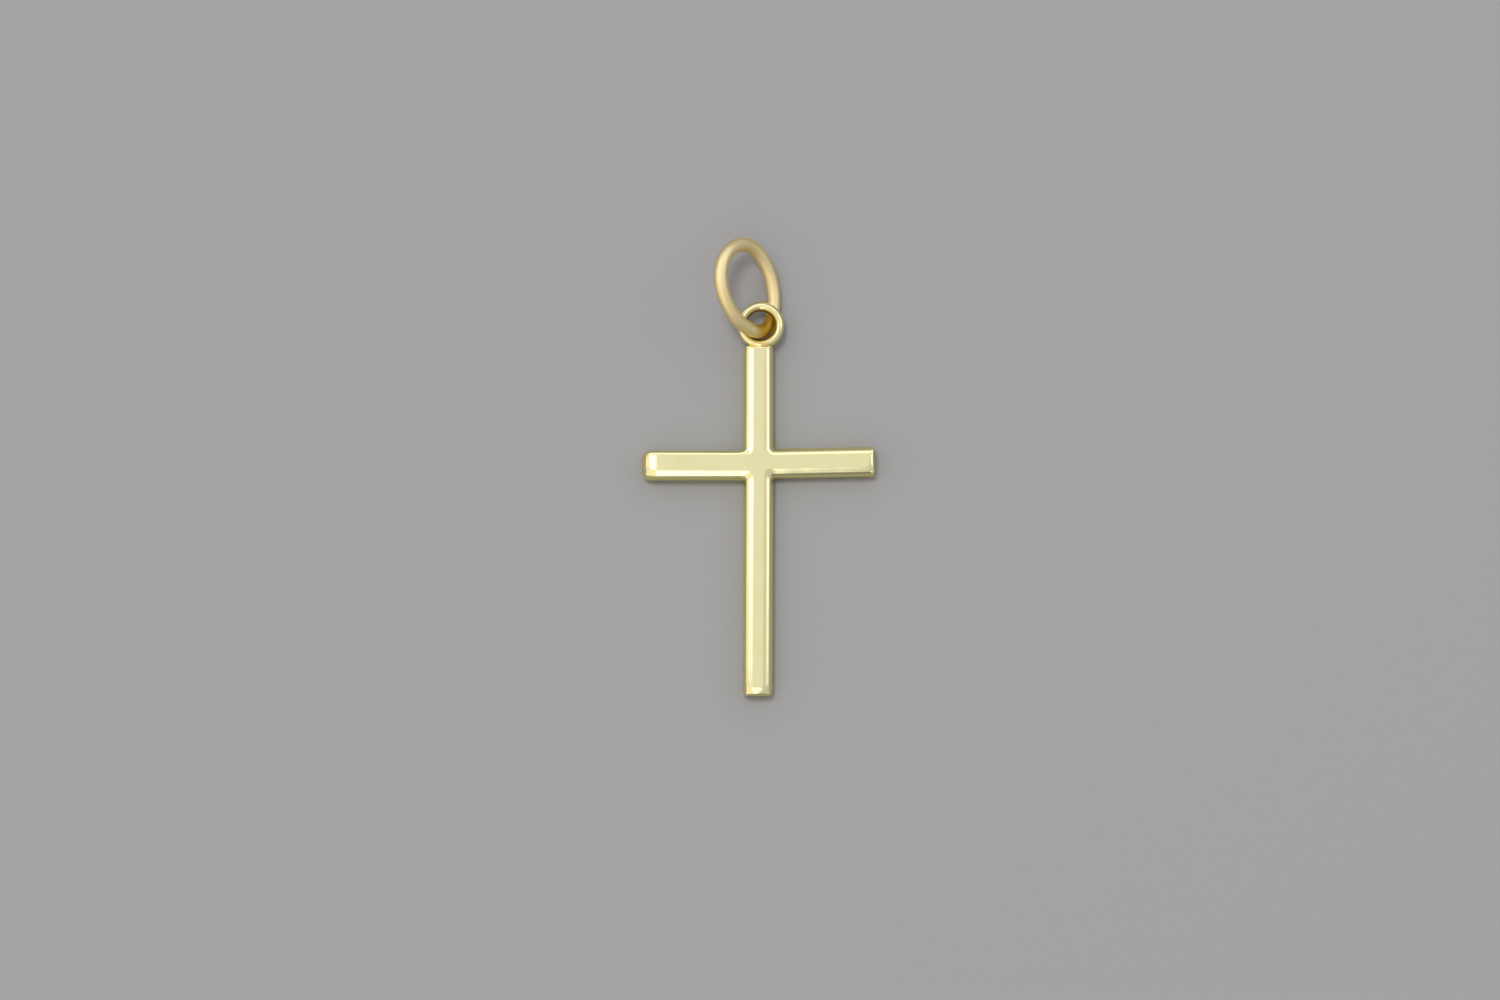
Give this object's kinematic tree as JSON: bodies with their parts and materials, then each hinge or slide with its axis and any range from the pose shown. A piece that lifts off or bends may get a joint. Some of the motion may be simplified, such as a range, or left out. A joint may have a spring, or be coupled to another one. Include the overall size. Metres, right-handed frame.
{
  "type": "cross pendant",
  "caption": "Plain gold cross pendant with softly rounded bars, a soldered wire eyelet on its upper end and an oval jump ring for a chain.",
  "frame": {"origin": "on the flat back, under the crossing of the upright and the arms", "axes": "+Z out of the polished face, away from the surface that the cross lies on; +Y along the upright towards the eyelet and the jump ring; +X along the right arm as seen from the face"},
  "size_m": [0.0152, 0.0298, 0.0045],
  "materials": {
    "cross_gold": "polished pale yellow gold",
    "ring_gold": "worn satin yellow gold"
  },
  "bodies": {
    "root": {"cross": "cross_gold", "jump_ring": "ring_gold"}
  },
  "joints": []
}
